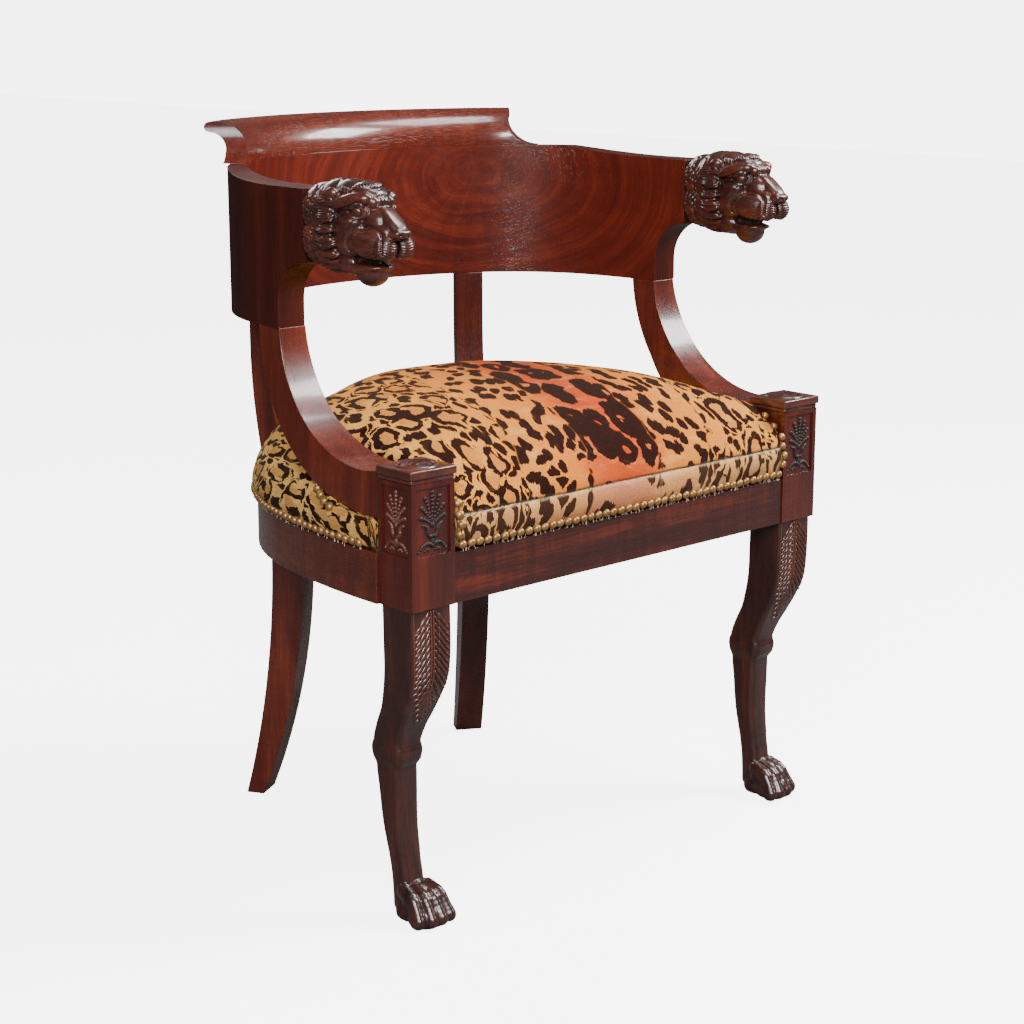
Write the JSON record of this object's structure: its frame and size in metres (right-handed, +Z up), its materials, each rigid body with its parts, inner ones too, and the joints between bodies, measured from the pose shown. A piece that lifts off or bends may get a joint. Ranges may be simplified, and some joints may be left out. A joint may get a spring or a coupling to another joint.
{
  "type": "desk armchair",
  "caption": "Desk armchair with a low curved back and overhanging crest, arms ending in lion heads, swept arm supports, lion-paw front legs, sabre rear legs and a domed padded seat.",
  "frame": {"origin": "on the floor, at the middle of the part's box in X and Y", "axes": "+Z up, the chair's front faces -Y, +X is to the right of a viewer who faces the front"},
  "size_m": [0.634, 0.5271, 0.8],
  "materials": {
    "mahogany": "French polished",
    "carved_mahogany": "French polished, darker in the carving",
    "beech": "unfinished",
    "webbing": "woven flax",
    "velvet": "printed cut velvet"
  },
  "bodies": {
    "root": {"front_rail": "mahogany", "side_rail_left": "mahogany", "side_rail_right": "mahogany", "rear_leg_left": "mahogany", "rear_leg_right": "mahogany", "back_panel": "mahogany", "crest_rail": "mahogany", "arm_left": "mahogany", "arm_right": "mahogany", "arm_support_left": "mahogany", "arm_support_right": "mahogany", "front_leg_left": "carved_mahogany", "front_leg_right": "carved_mahogany", "block_cap_left": "carved_mahogany", "block_cap_right": "carved_mahogany", "lion_head_left": "carved_mahogany", "lion_head_right": "carved_mahogany", "back_rail": "beech", "corner_block_left": "beech", "corner_block_right": "beech", "panel_dowels": "beech", "crest_dowels": "beech", "head_dowels": "beech", "support_dowels": "beech", "webbing_long": "webbing", "webbing_cross": "webbing", "base_cloth": "webbing", "seat_cushion": "velvet"}
  },
  "joints": []
}
